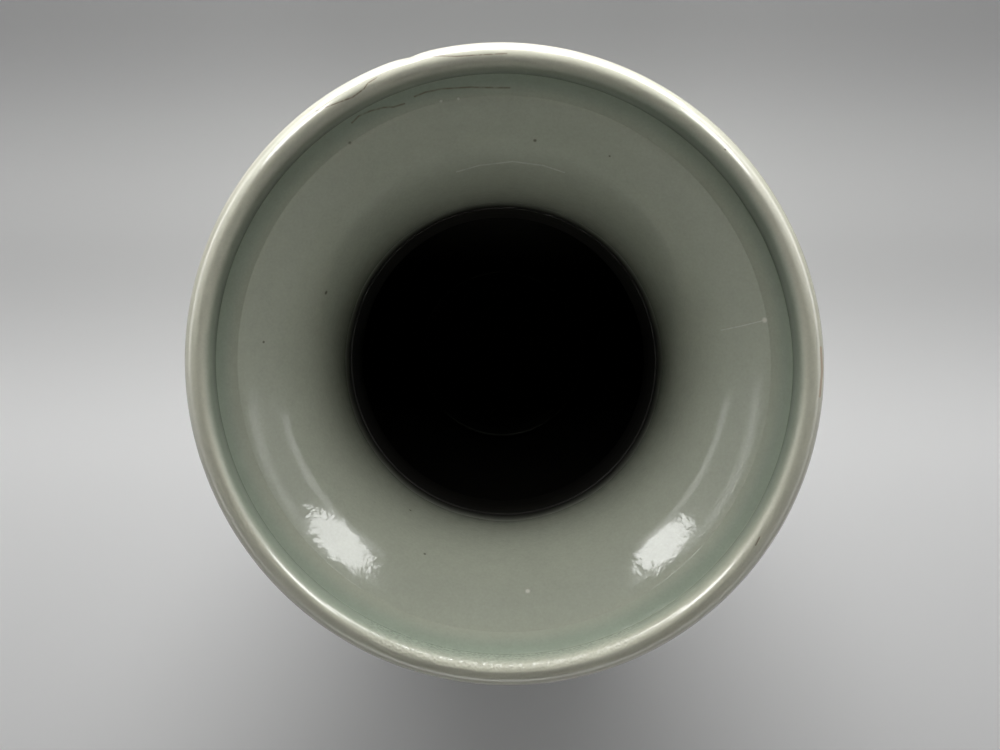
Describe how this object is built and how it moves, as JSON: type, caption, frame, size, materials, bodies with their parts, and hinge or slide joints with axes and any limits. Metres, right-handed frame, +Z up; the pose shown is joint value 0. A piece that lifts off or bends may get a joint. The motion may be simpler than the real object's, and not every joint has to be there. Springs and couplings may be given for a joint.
{
  "type": "vase",
  "caption": "Tall celadon vase with a trumpet mouth and rolled lip, a wide neck, a high-shouldered body and a spreading foot, built from luted thrown sections; stands free and holds flowers.",
  "frame": {"origin": "middle of the foot's bearing edge, on the surface that the vase stands on", "axes": "+Z up along the axis on which the vase was thrown; X and Y are level, and the picture is a view straight down -Z with +Y at its top"},
  "size_m": [0.17, 0.17, 0.35],
  "materials": {
    "celadon_glaze": "glossy grey-green glaze, darker where it pools",
    "thin_lip_glaze": "the same glaze run thin and pale over the lip",
    "bare_clay": "unglazed stoneware, matt"
  },
  "bodies": {
    "root": {"foot_ring": "celadon_glaze", "ankle_luting_slip": "bare_clay", "base_saucer": "celadon_glaze", "lower_body": "celadon_glaze", "belly_luting_slip": "celadon_glaze", "upper_body": "celadon_glaze", "shoulder_luting_slip": "celadon_glaze", "neck": "celadon_glaze", "waist_luting_slip": "celadon_glaze", "trumpet_mouth": "celadon_glaze", "lip_luting_slip": "celadon_glaze", "rolled_lip": "thin_lip_glaze"}
  },
  "joints": []
}
